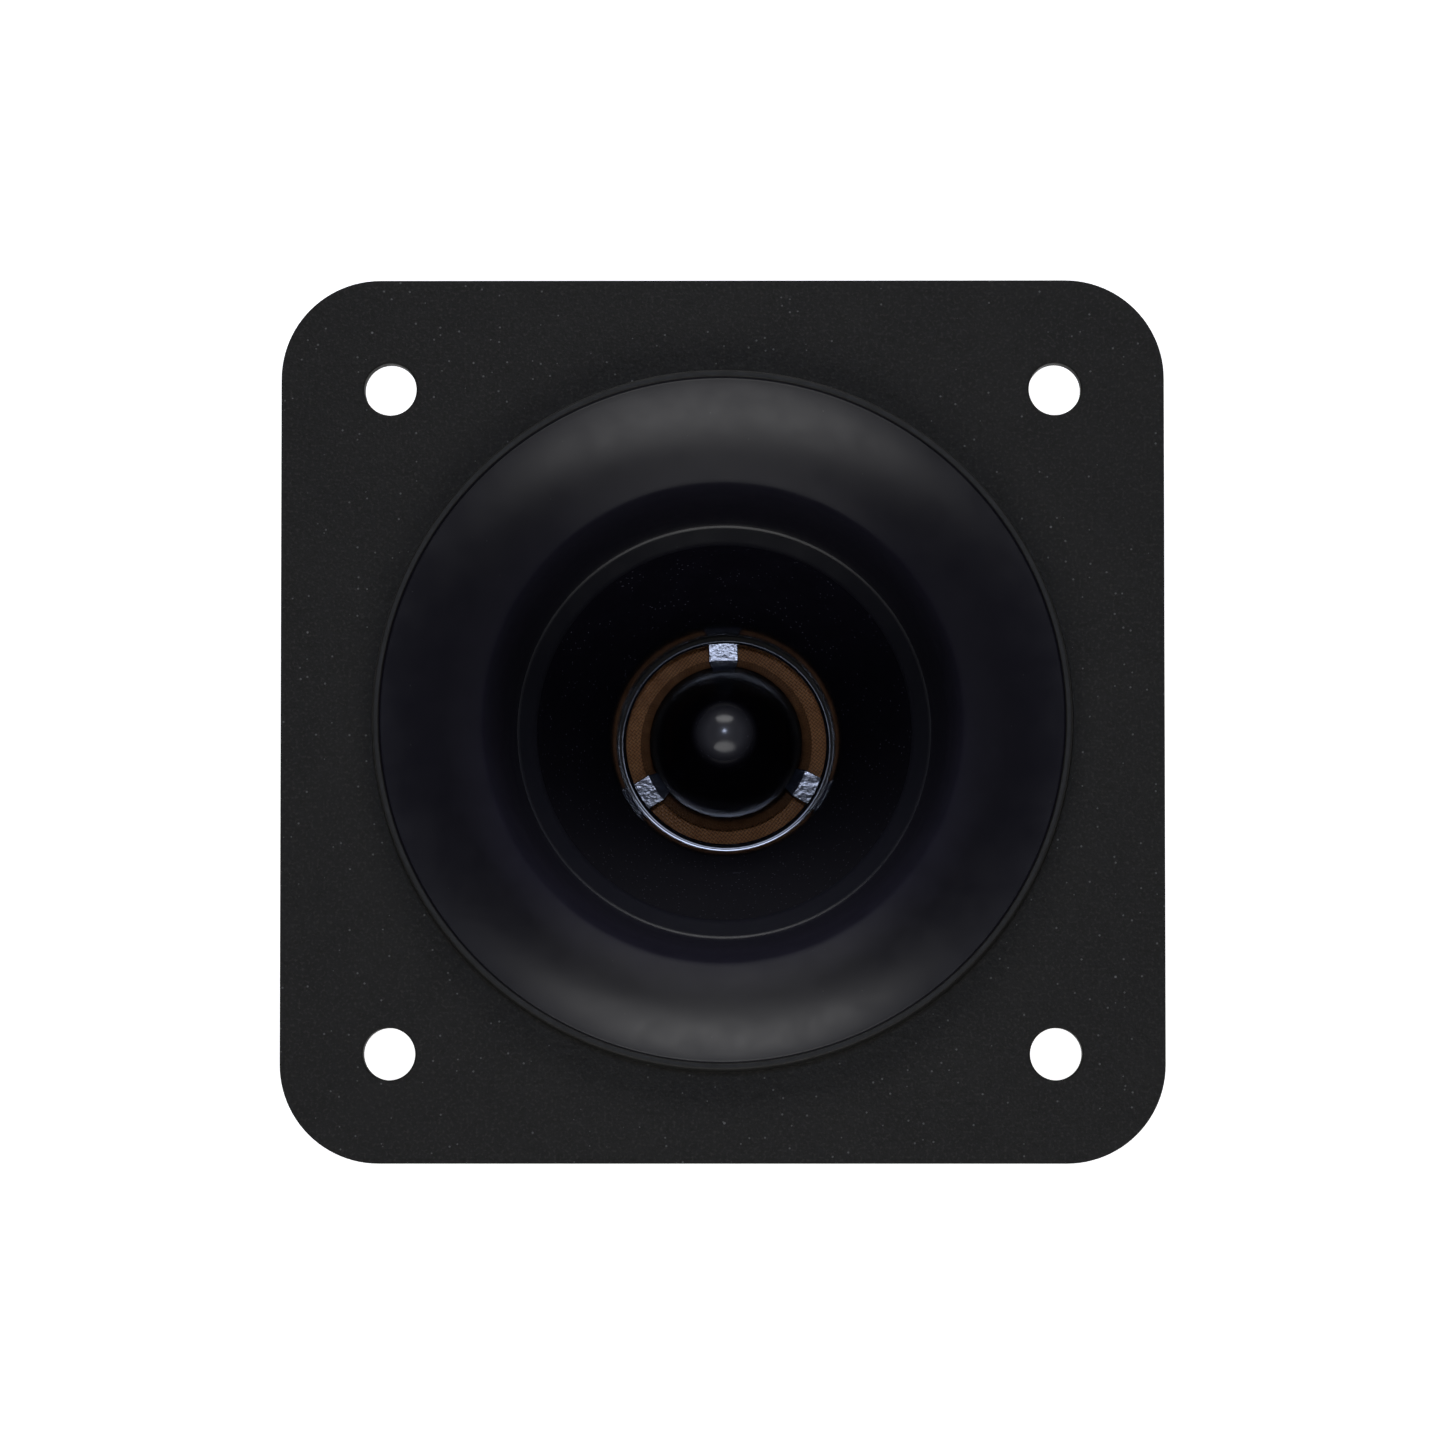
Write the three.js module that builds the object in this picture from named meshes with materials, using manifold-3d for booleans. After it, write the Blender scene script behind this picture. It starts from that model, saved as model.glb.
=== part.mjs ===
// Horn-loaded car tweeter: a square moulded flange with a round flared mouth, a throat horn and
// a three-legged phase plug in front of a phenolic-cloth dome, driven by a ferrite ring motor.
// Millimetres. The origin is the centre of the back face of the yoke, and +Z is the way it fires.
import * as THREE from "three";
import { mergeVertices } from "three/addons/utils/BufferGeometryUtils.js";
import Module from "manifold-3d";

const wasm = await Module();
wasm.setup();

// ---------------------------------------------------------------- driving dimensions
const FLANGE_SIDE = 85; // square mounting flange
const FLANGE_CORNER = 9.5; // radius of its corners
const FLANGE_THICK = 2.7;
const FLANGE_BEVEL = 0.5; // softened front edge
const LIP_TOP = 76.4; // top of the collar round the mouth, and of the whole tweeter
const LIP_HEIGHT = 3.8;
const LIP_INNER = 32.9;
const LIP_OUTER = 33.5;
const LIP_TOE = 33.75; // where the collar meets the flange
const GUSSET_FOOT = 46; // webs behind the flange, towards its corners
const GUSSET_REACH = 34;
const GUSSET_THICK = 1.8;
const BOLT_PITCH = 64; // four holes on a square
const BOLT_R = 2.5;
const BOLT_EASE = 0.25; // eased front edge of each hole

const FLARE_START = [32.6, 75.75]; // just inside the collar, below its top
const FLARE_PULL = [27.9, 74.3];
const FLARE_KNEE = [23.3, 70.2]; // where the flare turns down into the barrel
const BARREL_PULL = [21.9, 68.95];
const SEAM_Z = 51.2; // where the flare of the flange meets the throat horn
const SEAM_R = 20.5;
const SHOULDER = [18.5, 49.4]; // end of the throat's cone, start of its rounded step
const THROAT_TOP_Z = 34.3; // end of the cone, start of the nearly straight throat
const THROAT_TOP_R = 11.47;
const THROAT_R = 11; // at the phase plug
const THROAT_BACK_R = 13.4; // outside of the throat's wall, where it is cored out
const THROAT_SKIRT = 1.8; // wall of the insert where it lines the bore

const BORE_R = 22.3; // bore of the flange moulding that holds the inner stack
const BODY_R = 24.6; // outside of that barrel
const BODY_TOP = 62; // where the barrel starts to widen behind the mouth
const HOLLOW = [31.4, 72.2]; // deepest part of the hollow behind the collar
const COLLAR_SIDE = 54; // square foot that the motor is screwed to
const COLLAR_CORNER = 9;
const COLLAR_TOP = 29;
const COLLAR_FOOT = 19.5;
const EAR_SLOT_TOP = 23.4; // the terminals leave the collar below this
const SCREW_AT = 22; // the motor screws stand at plus and minus this in X and Y
const SCREW_BORE_R = 1.55;
const SCREW_BORE_TOP = 27.5;
const STACK_R = 22.1; // outside of the round pieces inside the bore
const SEAT_GAP = 0.05; // clearance between pieces that rest on each other

const YOKE_R = 25;
const YOKE_THICK = 5;
const POLE_R = 12.1;
const POLE_TOP = 19;
const PAD_R = 9; // felt on the pole
const PAD_THICK = 1.45;
const MAGNET_R = 27.5;
const MAGNET_BORE_R = 16;
const MAGNET_TOP = 15;
const PLATE_SIDE = 53; // square front plate
const PLATE_CORNER = 8.5;
const PLATE_BORE_R = 13.75;
const PLATE_TOP = 19;
const PLATE_SCREW_R = 1.75; // clearance holes for the motor screws
const GASKET_SCREW_R = 1.9;

const FRAME_TOP = 21.15; // plastic frame that carries the diaphragm
const FRAME_BORE_R = 14.6;
const COIL_R = 12.6; // inside of the coil former
const FORMER_WALL = 0.15;
const FORMER_HEIGHT = 5.9;
const WIRE_BUILD = 0.4; // thickness of the winding
const WINDING_HEIGHT = 3.5;
const DOME_R = 12.95;
const DOME_RISE = 3;
const DOME_FOOT = 21.05;
const CLOTH = 0.25; // thickness of the phenolic cloth
const ROLL_AT = 14.65; // radius at which the surround's half roll is centred
const ROLL_R = 1.5;
const RIM_INNER = 16; // flat rim of the surround
const RIM_OUTER = 18.6;
const CLAMP_INNER = 16.5;
const CLAMP_OUTER = 18.8;
const CLAMP_THICK = 0.7;
const PIN_AT = 20; // locating pins on the Y axis
const PIN_R = 1;
const PIN_HOLE_R = 1.1;
const PIN_SUNK = 2.1; // depth of a pin in the front plate
const PIN_LENGTH = 6.4;

const SLOT_OUTER_R = 10.2; // annular slot between phase plug and ring
const PLUG_R = 8.8;
const PLUG_FOOT = 23.85;
const PLUG_CREASE = [7.7, 30]; // where the plug's skirt turns into its cone
const PLUG_NOSE_TOP = 50;
const PLUG_CAP_R = 4.6; // the nose's shallow cap
const PLUG_CAP_FROM = 62.4; // degrees up at which the cap meets its shoulder
const PLUG_SHOULDER_R = 2.6; // the rounding between cap and cone
const PLUG_SHOULDER_FROM = 13.4; // degrees up at which the cone is tangent
const RING_TOP = 25.3;
const PLUG_SEAT = 25; // top of the plug's clamping flange
const PLUG_STEP_R = 19; // the clamping flange clears the surround inside this
const PLUG_STEP_Z = 22.25;
const PLUG_RELIEF_R = 16.3; // and the half roll inside this
const PLUG_RELIEF_Z = 23.6;
const LEG_WIDTH = 3;
const LEG_TOP = 25.15;
const LEG_TURN = THREE.MathUtils.degToRad(1.8); // the legs stand a little off the flange's axes

const EAR_WIDTH = 8.4; // the frame's ears carry the terminals out of the collar
const EAR_END = 31;
const WIRE_GROOVE_END = 25.4;
const WIRE_GROOVE = 1.6;
const WIRE_R = 0.3;
const RIVET_AT = 29;
const RIVET_BORE = 0.6;
const RIVET_R = 1.1;
const RIVET_HEAD = 2;
const RIVET_HOLE_R = 1.2;
const BLADE_THICK = 0.8;
const BLADE_TAIL = 23.4; // narrow tail that the lead is soldered to
const BLADE_BASE = [27.2, 31.4]; // wide part under the rivet
const BLADE_END = 38.5;
const WIDE_TAB = 4.8;
const NARROW_TAB = 2.8;

const SHANK_R = 1.45; // motor screws
const SHANK_LENGTH = 12;
const HEAD_R = 2.8;
const HEAD_HEIGHT = 1.9;

const ROUND = 40; // facets of a large circle
const SHELL = 32; // facets of the flange moulding's circles
const SMALL = 14; // facets of a screw or a hole

// ---------------------------------------------------------------- materials
const finish = (color, roughness, metalness = 0) =>
  new THREE.MeshStandardMaterial({ color, roughness, metalness });
const matteBlack = finish(0x1f1f20, 0.62);
const glossBlack = finish(0x0b0b10, 0.22);
const plugBlack = finish(0x15161c, 0.18);
const phenolicCloth = finish(0x6b4322, 0.6);
const frameBlack = finish(0x232325, 0.55);
const copper = finish(0xb5653a, 0.35, 1);
const amberFilm = finish(0xa86a22, 0.35);
const tinnedBrass = finish(0xb9b8b0, 0.3, 1);
const zincSteel = finish(0xa9adb1, 0.35, 1);
const ferrite = finish(0x2b2b2d, 0.7);
const blackSteel = finish(0x1c1c1e, 0.4, 0.6);
const fibre = finish(0x4a4038, 0.85);
const felt = finish(0x5c5a57, 0.95);

// ---------------------------------------------------------------- solids
// A closed geometry as a solid that can be joined and cut, and back.
function solid(geometry) {
  const bare = geometry.index ? geometry.toNonIndexed() : geometry.clone();
  for (const name of ["normal", "uv"]) bare.deleteAttribute(name);
  const merged = mergeVertices(bare, 1e-4);
  return new wasm.Manifold(
    new wasm.Mesh({
      numProp: 3,
      vertProperties: merged.attributes.position.array,
      triVerts: new Uint32Array(merged.index.array),
    }),
  );
}

function geometryOf(manifold) {
  const mesh = manifold.getMesh();
  const geometry = new THREE.BufferGeometry();
  geometry.setAttribute(
    "position",
    new THREE.BufferAttribute(new Float32Array(mesh.vertProperties), 3),
  );
  geometry.setIndex(new THREE.BufferAttribute(new Uint32Array(mesh.triVerts), 1));
  geometry.computeVertexNormals();
  return geometry;
}

const join = (...solids) => solids.reduce((sum, next) => sum.add(next));
const cut = (body, ...tools) => tools.reduce((rest, tool) => rest.subtract(tool), body);

// A profile in (radius, height), turned round the Z axis. A profile that doesn't start and end
// on the axis is closed on itself.
function turned(profile, facets = ROUND) {
  let points = profile.map(([r, z]) => new THREE.Vector2(r, z));
  const first = points[0];
  const last = points[points.length - 1];
  const onAxis = first.x === 0 && last.x === 0;
  const area = THREE.ShapeUtils.area(points);
  if (!onAxis) points.push(first.clone());
  if (area < 0) points = points.reverse();
  return new THREE.LatheGeometry(points, facets).rotateX(Math.PI / 2);
}

// A ring or a disc with square edges.
function ring(inner, outer, low, high, facets = ROUND) {
  return turned([[inner, low], [outer, low], [outer, high], [inner, high]], facets);
}

// An outline in X and Y, extruded from one height to another.
function extruded(shape, low, high, curveSegments = 8) {
  const depth = high - low;
  const geometry = new THREE.ExtrudeGeometry(shape, { depth, bevelEnabled: false, curveSegments });
  return geometry.translate(0, 0, low);
}

function bar(x0, x1, width, low, high) {
  const box = new THREE.BoxGeometry(x1 - x0, width, high - low);
  return box.translate((x0 + x1) / 2, 0, (low + high) / 2);
}

function squareShape(side, corner) {
  const h = side / 2;
  const c = h - corner;
  const shape = new THREE.Shape();
  shape.moveTo(-c, -h).lineTo(c, -h).absarc(c, -c, corner, -Math.PI / 2, 0);
  shape.lineTo(h, c).absarc(c, c, corner, 0, Math.PI / 2);
  shape.lineTo(-c, h).absarc(-c, c, corner, Math.PI / 2, Math.PI);
  shape.lineTo(-h, -c).absarc(-c, -c, corner, Math.PI, Math.PI * 1.5);
  return shape;
}

// The points of a quadratic curve in (radius, height), without its first point.
function bend(start, pull, end, steps) {
  const v = (p) => new THREE.Vector2(...p);
  const curve = new THREE.QuadraticBezierCurve(v(start), v(pull), v(end));
  return curve.getPoints(steps).slice(1).map((p) => [p.x, p.y]);
}

// The points of a circle's arc in (radius, height), angles in degrees from the outward direction.
function arc(centre, radius, from, to, steps) {
  return Array.from({ length: steps + 1 }, (_, i) => {
    const angle = THREE.MathUtils.degToRad(from + ((to - from) * i) / steps);
    return [centre[0] + radius * Math.cos(angle), centre[1] + radius * Math.sin(angle)];
  });
}

const corners = (at) => [[at, at], [-at, at], [-at, -at], [at, -at]];

function piece(name, shape, material) {
  const geometry = shape instanceof THREE.BufferGeometry ? shape : geometryOf(shape);
  const mesh = new THREE.Mesh(geometry, material);
  mesh.name = name;
  return mesh;
}

function groupAt(height, ...children) {
  const group = new THREE.Group();
  group.position.z = height;
  group.add(...children);
  return group;
}

// ---------------------------------------------------------------- horn
const FLANGE_FRONT = LIP_TOP - LIP_HEIGHT;
const FLANGE_BACK = FLANGE_FRONT - FLANGE_THICK;

// The inside of the flange moulding, from the collar's toe down to the foot of the bore.
function flareProfile() {
  return [
    [LIP_TOE, FLANGE_FRONT],
    [LIP_OUTER, LIP_TOP],
    [LIP_INNER, LIP_TOP],
    FLARE_START,
    ...bend(FLARE_START, FLARE_PULL, FLARE_KNEE, 4),
    ...bend(FLARE_KNEE, BARREL_PULL, [SEAM_R, SEAM_Z], 3),
    [BORE_R, SEAM_Z],
    [BORE_R, COLLAR_FOOT],
  ];
}

// The outside of the barrel, from the foot up to the hollow behind the mouth's collar.
function barrelProfile() {
  const start = [BODY_R, BODY_TOP];
  return [
    [BODY_R, COLLAR_FOOT],
    start,
    ...bend(start, [BODY_R + 0.6, BODY_TOP + 7.5], HOLLOW, 3),
    [HOLLOW[0] + 0.3, FLANGE_BACK],
    [LIP_TOE, FLANGE_BACK],
  ];
}

// The square plate, with its front edge eased. The eased rim behind it is trimmed away.
function flangePlate() {
  const shape = squareShape(FLANGE_SIDE - 2 * FLANGE_BEVEL, FLANGE_CORNER - FLANGE_BEVEL);
  const plate = new THREE.ExtrudeGeometry(shape, {
    depth: FLANGE_THICK,
    bevelThickness: FLANGE_BEVEL,
    bevelSize: FLANGE_BEVEL,
    bevelSegments: 1,
    curveSegments: 5,
  });
  plate.translate(0, 0, FLANGE_FRONT - FLANGE_THICK - FLANGE_BEVEL);
  const behind = solid(bar(-FLANGE_SIDE, FLANGE_SIDE, 2 * FLANGE_SIDE, FLANGE_BACK - 5, FLANGE_BACK));
  return cut(solid(plate), behind);
}

// A thin web between the barrel and the back of the flange, sunk a little into both.
function gusset(angle) {
  const inside = BODY_R - 0.8;
  const sunk = FLANGE_BACK + 0.5;
  const shape = new THREE.Shape();
  shape.moveTo(inside, GUSSET_FOOT).lineTo(BODY_R, GUSSET_FOOT);
  shape.lineTo(GUSSET_REACH, sunk).lineTo(GUSSET_REACH - 2, sunk);
  shape.lineTo(HOLLOW[0] - 0.8, HOLLOW[1] + 0.7).lineTo(inside, BODY_TOP + 6);
  const web = new THREE.ExtrudeGeometry(shape, { depth: GUSSET_THICK, bevelEnabled: false });
  web.translate(0, 0, -GUSSET_THICK / 2).rotateX(Math.PI / 2).rotateZ(angle);
  return solid(web);
}

function hornFlange() {
  const shell = solid(turned([...flareProfile(), ...barrelProfile()], SHELL));
  const hollow = solid(ring(0, LIP_TOE - 0.4, FLANGE_BACK - 1, LIP_TOP + 1, SHELL));
  const plate = cut(flangePlate(), hollow);
  const collarShape = squareShape(COLLAR_SIDE, COLLAR_CORNER);
  const collar = cut(
    solid(extruded(collarShape, COLLAR_FOOT, COLLAR_TOP, 5)),
    solid(ring(0, BORE_R + 0.6, COLLAR_FOOT - 1, COLLAR_TOP + 1, SHELL)),
  );
  const gussets = [45, 135, 225, 315].map((a) => gusset(THREE.MathUtils.degToRad(a)));
  const boltHole = solid(
    turned(
      [
        [0, FLANGE_BACK - 1],
        [BOLT_R, FLANGE_BACK - 1],
        [BOLT_R, FLANGE_FRONT - BOLT_EASE],
        [BOLT_R + 2 * BOLT_EASE, FLANGE_FRONT + BOLT_EASE],
        [0, FLANGE_FRONT + BOLT_EASE],
      ],
      12,
    ),
  );
  const screwHole = solid(ring(0, SCREW_BORE_R, COLLAR_FOOT - 1, SCREW_BORE_TOP, 10));
  const slotWidth = EAR_WIDTH + 0.6;
  const slot = solid(bar(-COLLAR_SIDE, COLLAR_SIDE, slotWidth, COLLAR_FOOT - 1, EAR_SLOT_TOP));
  return cut(
    join(shell, plate, collar, ...gussets),
    slot,
    ...corners(BOLT_PITCH / 2).map(([x, y]) => boltHole.translate([x, y, 0])),
    ...corners(SCREW_AT).map(([x, y]) => screwHole.translate([x, y, 0])),
  );
}

// The insert that carries the horn on from the seam to the throat, cored out from behind.
function throatHorn() {
  const top = SEAM_Z - SEAT_GAP;
  const foot = PLUG_SEAT + SEAT_GAP;
  const skirt = STACK_R - THROAT_SKIRT;
  return turned([
    [THROAT_R, foot],
    [THROAT_TOP_R, THROAT_TOP_Z],
    SHOULDER,
    ...bend(SHOULDER, [SHOULDER[0] + 0.8, SEAM_Z - 0.6], [SEAM_R - 0.2, top - 0.1], 3),
    [SEAM_R + 0.1, top],
    [STACK_R, top],
    [STACK_R, foot],
    [skirt, foot],
    [skirt, SHOULDER[1] - 1],
    [THROAT_BACK_R, THROAT_TOP_Z + 0.3],
    [THROAT_BACK_R - 0.2, foot],
  ]);
}

// ---------------------------------------------------------------- phase plug
// Height above the dome's foot of a cap with the dome's curvature, at a radius.
function domeHeight(radius) {
  const sphere = (DOME_R ** 2 + DOME_RISE ** 2) / (2 * DOME_RISE);
  return Math.sqrt(sphere ** 2 - radius ** 2) - (sphere - DOME_RISE);
}

function phasePlug() {
  const gap = PLUG_FOOT - domeHeight(PLUG_R); // the underside keeps this above the dome's curve
  const cap = [0, PLUG_NOSE_TOP - PLUG_CAP_R];
  const turn = THREE.MathUtils.degToRad(PLUG_CAP_FROM);
  const inset = PLUG_CAP_R - PLUG_SHOULDER_R;
  const shoulder = [inset * Math.cos(turn), cap[1] + inset * Math.sin(turn)];
  const bullet = turned([
    [0, gap + DOME_RISE],
    [PLUG_R / 2, gap + domeHeight(PLUG_R / 2)],
    [PLUG_R, PLUG_FOOT],
    PLUG_CREASE,
    ...arc(shoulder, PLUG_SHOULDER_R, PLUG_SHOULDER_FROM, PLUG_CAP_FROM, 3),
    ...arc(cap, PLUG_CAP_R, PLUG_CAP_FROM, 90, 3).slice(1, -1),
    [0, PLUG_NOSE_TOP],
  ]);
  const ringFoot = gap + domeHeight(SLOT_OUTER_R);
  const seat = FRAME_TOP + SEAT_GAP;
  const clampRing = turned([
    [SLOT_OUTER_R, ringFoot],
    [COIL_R, ringFoot - 0.8],
    [COIL_R + 0.4, PLUG_RELIEF_Z],
    [PLUG_RELIEF_R, PLUG_RELIEF_Z],
    [PLUG_RELIEF_R, PLUG_STEP_Z],
    [PLUG_STEP_R, PLUG_STEP_Z],
    [PLUG_STEP_R, seat],
    [STACK_R, seat],
    [STACK_R, PLUG_SEAT],
    [THROAT_R - 0.05, PLUG_SEAT],
    [THROAT_R - 0.1, RING_TOP - 0.1],
    [THROAT_R - 0.2, RING_TOP],
    [SLOT_OUTER_R + 0.15, RING_TOP],
    [SLOT_OUTER_R, RING_TOP - 0.15],
  ]);
  const leg = solid(bar(PLUG_R - 0.6, SLOT_OUTER_R + 0.4, LEG_WIDTH, PLUG_FOOT + 0.05, LEG_TOP));
  const legs = [90, 210, 330].map((a) => leg.rotate([0, 0, a + THREE.MathUtils.radToDeg(LEG_TURN)]));
  const pinHole = solid(ring(0, PIN_HOLE_R, FRAME_TOP - 1, PLUG_RELIEF_Z + 0.1, SMALL));
  return cut(
    join(solid(bullet), solid(clampRing), ...legs),
    pinHole.translate([0, PIN_AT, 0]),
    pinHole.translate([0, -PIN_AT, 0]),
  );
}

// ---------------------------------------------------------------- diaphragm
function domeShell() {
  const steps = 5;
  const radii = Array.from({ length: steps + 1 }, (_, i) => (DOME_R * i) / steps);
  const outer = radii.map((r) => [r, CLOTH + domeHeight(r)]);
  const inner = radii.map((r) => [r, domeHeight(r)]).reverse();
  return turned([...outer, ...inner], 32);
}

// Half-roll suspension and its flat rim, measured from the top of the frame.
function surround() {
  const centre = [ROLL_AT, CLOTH];
  const outerRoll = arc(centre, ROLL_R, 180, 0, 5);
  const innerRoll = arc(centre, ROLL_R - CLOTH, 0, 180, 5);
  const rim = [[RIM_OUTER, CLOTH], [RIM_OUTER, 0], [RIM_INNER, 0]];
  return turned([...outerRoll, ...rim, ...innerRoll], 32);
}

function coilFormer() {
  return ring(COIL_R, COIL_R + FORMER_WALL, 0, FORMER_HEIGHT, 36);
}

function coilWinding() {
  const inner = COIL_R + FORMER_WALL + SEAT_GAP;
  return ring(inner, inner + WIRE_BUILD, 0, WINDING_HEIGHT, 36);
}

function clampRing() {
  return ring(CLAMP_INNER, CLAMP_OUTER, 0, CLAMP_THICK, 36);
}

// The plastic frame under the diaphragm, with an ear on each side for a terminal.
function diaphragmFrame() {
  const foot = PLATE_TOP + SEAT_GAP;
  const disc = solid(ring(FRAME_BORE_R, STACK_R, foot, FRAME_TOP));
  const ears = cut(
    solid(bar(-EAR_END, EAR_END, EAR_WIDTH, COLLAR_FOOT, FRAME_TOP)),
    solid(ring(0, STACK_R - 1, foot - 1, FRAME_TOP + 1)),
  );
  const grooveEnd = WIRE_GROOVE_END;
  const wireGroove = solid(bar(-grooveEnd, grooveEnd, WIRE_GROOVE, FRAME_TOP - 1, FRAME_TOP + 1));
  const pinHole = solid(ring(0, PIN_HOLE_R, foot - 1, FRAME_TOP + 1, SMALL));
  const rivetHole = solid(ring(0, RIVET_HOLE_R, foot - 1, FRAME_TOP + 1, SMALL));
  return cut(
    join(disc, ears),
    wireGroove,
    pinHole.translate([0, PIN_AT, 0]),
    pinHole.translate([0, -PIN_AT, 0]),
    rivetHole.translate([RIVET_AT, 0, 0]),
    rivetHole.translate([-RIVET_AT, 0, 0]),
  );
}

// ---------------------------------------------------------------- terminals, on the +X side
function blade(tabWidth) {
  const tail = 1.1;
  const base = 2.75;
  const [from, to] = BLADE_BASE;
  const tab = tabWidth / 2;
  const nose = tab - 0.6;
  const shape = new THREE.Shape();
  shape.moveTo(BLADE_TAIL, -tail).lineTo(from, -tail).lineTo(from, -base).lineTo(to, -base);
  shape.lineTo(to, -tab).lineTo(BLADE_END - 0.9, -tab).lineTo(BLADE_END, -nose);
  shape.lineTo(BLADE_END, nose).lineTo(BLADE_END - 0.9, tab).lineTo(to, tab);
  shape.lineTo(to, base).lineTo(from, base).lineTo(from, tail).lineTo(BLADE_TAIL, tail);
  shape.holes.push(new THREE.Path().absarc(RIVET_AT, 0, RIVET_HOLE_R, 0, Math.PI * 2));
  shape.holes.push(new THREE.Path().absarc(BLADE_END - 3.4, 0, 0.7, 0, Math.PI * 2));
  return extruded(shape, 0, BLADE_THICK, 5);
}

// A hollow rivet, rolled over under the ear and headed on the blade.
function rivet() {
  const low = COLLAR_FOOT - SEAT_GAP;
  const high = FRAME_TOP + SEAT_GAP + BLADE_THICK + SEAT_GAP;
  const body = turned(
    [
      [RIVET_BORE, low - 0.5],
      [RIVET_HEAD - 0.3, low - 0.5],
      [RIVET_HEAD, low],
      [RIVET_R, low],
      [RIVET_R, high],
      [RIVET_HEAD, high],
      [RIVET_HEAD - 0.3, high + 0.5],
      [RIVET_BORE, high + 0.5],
    ],
    SMALL,
  );
  return body.translate(RIVET_AT, 0, 0);
}

// Flexible lead from the coil, through the groove in the frame, to the tail of the blade.
function leadWire() {
  const route = new THREE.CatmullRomCurve3(
    [
      [13.35, 19.5],
      [14.1, 20.1],
      [15.4, 20.6],
      [19, 20.6],
      [22.6, 20.6],
      [24.9, 20.78],
    ].map(([x, z]) => new THREE.Vector3(x, 0, z)),
  );
  const section = new THREE.Shape().absarc(0, 0, WIRE_R, 0, Math.PI * 2);
  return new THREE.ExtrudeGeometry(section, { steps: 16, extrudePath: route, curveSegments: 4 });
}

// ---------------------------------------------------------------- motor
function yoke() {
  const ease = 0.8;
  return turned([
    [0, 0],
    [YOKE_R - ease, 0],
    [YOKE_R, ease],
    [YOKE_R, YOKE_THICK],
    [POLE_R + 0.6, YOKE_THICK],
    [POLE_R, YOKE_THICK + 0.6],
    [POLE_R, POLE_TOP - 0.4],
    [POLE_R - 0.4, POLE_TOP],
    [0, POLE_TOP],
  ]);
}

function magnet() {
  const ease = 0.6;
  const foot = YOKE_THICK + SEAT_GAP;
  return turned([
    [MAGNET_BORE_R, foot],
    [MAGNET_R - ease, foot],
    [MAGNET_R, foot + ease],
    [MAGNET_R, MAGNET_TOP - ease],
    [MAGNET_R - ease, MAGNET_TOP],
    [MAGNET_BORE_R, MAGNET_TOP],
  ]);
}

function frontPlate() {
  const foot = MAGNET_TOP + SEAT_GAP;
  const plate = solid(extruded(squareShape(PLATE_SIDE, PLATE_CORNER), foot, PLATE_TOP, 6));
  const bore = solid(ring(0, PLATE_BORE_R, foot - 1, PLATE_TOP + 1));
  const screwHole = solid(ring(0, PLATE_SCREW_R, foot - 1, PLATE_TOP + 1, SMALL));
  const pinFoot = PLATE_TOP - PIN_SUNK - 0.1;
  const pinHole = solid(ring(0, PIN_HOLE_R, pinFoot, PLATE_TOP + 1, SMALL));
  return cut(
    plate,
    bore,
    pinHole.translate([0, PIN_AT, 0]),
    pinHole.translate([0, -PIN_AT, 0]),
    ...corners(SCREW_AT).map(([x, y]) => screwHole.translate([x, y, 0])),
  );
}

function motorGasket() {
  const foot = PLATE_TOP + SEAT_GAP;
  const top = COLLAR_FOOT - SEAT_GAP;
  const screwHole = solid(ring(0, GASKET_SCREW_R, foot - 1, top + 1, SMALL));
  return cut(
    solid(extruded(squareShape(PLATE_SIDE, PLATE_CORNER), foot, top, 6)),
    solid(ring(0, BORE_R, foot - 1, top + 1)),
    ...corners(SCREW_AT).map(([x, y]) => screwHole.translate([x, y, 0])),
  );
}

function polePad() {
  const foot = POLE_TOP + SEAT_GAP;
  return ring(0, PAD_R, foot, foot + PAD_THICK, 36);
}

// Pan-head screw with a cross recess. Its origin is the seat of the head, and it points up.
function screw() {
  const shank = turned(
    [
      [0, -HEAD_HEIGHT],
      [HEAD_R - 1.2, -HEAD_HEIGHT],
      [HEAD_R - 0.3, -HEAD_HEIGHT + 0.5],
      [HEAD_R, -HEAD_HEIGHT + 1.3],
      [HEAD_R, 0],
      [SHANK_R, 0],
      [SHANK_R, SHANK_LENGTH - 1.6],
      [SHANK_R - 0.95, SHANK_LENGTH],
      [0, SHANK_LENGTH],
    ],
    SMALL,
  );
  const slot = solid(bar(-1.5, 1.5, 0.55, -HEAD_HEIGHT - 1, -HEAD_HEIGHT + 1));
  return cut(solid(shank), slot, slot.rotate([0, 0, 90]));
}

// ---------------------------------------------------------------- assembly
const horn = groupAt(
  0,
  piece("horn_flange", hornFlange(), matteBlack),
  piece("throat_horn", throatHorn(), glossBlack),
  piece("phase_plug", phasePlug(), plugBlack),
);

const movingCoil = groupAt(
  DOME_FOOT,
  piece("diaphragm_dome", domeShell(), phenolicCloth),
  groupAt(-FORMER_HEIGHT - SEAT_GAP, piece("coil_former", coilFormer(), amberFilm)),
  groupAt(-FORMER_HEIGHT + 0.2, piece("voice_coil", coilWinding(), copper)),
);

const suspension = groupAt(
  FRAME_TOP + SEAT_GAP,
  piece("surround", surround(), phenolicCloth),
  groupAt(CLOTH + SEAT_GAP, piece("surround_clamp_ring", clampRing(), fibre)),
);

// The positive terminal is on the +X side, with the wider blade.
function terminalSide(sign, turn, tabWidth) {
  const side = groupAt(
    0,
    groupAt(FRAME_TOP + SEAT_GAP, piece("terminal_" + sign, blade(tabWidth), tinnedBrass)),
    piece("rivet_" + sign, rivet(), tinnedBrass),
    piece("lead_wire_" + sign, leadWire(), copper),
  );
  side.rotation.z = turn;
  return side;
}

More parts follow.
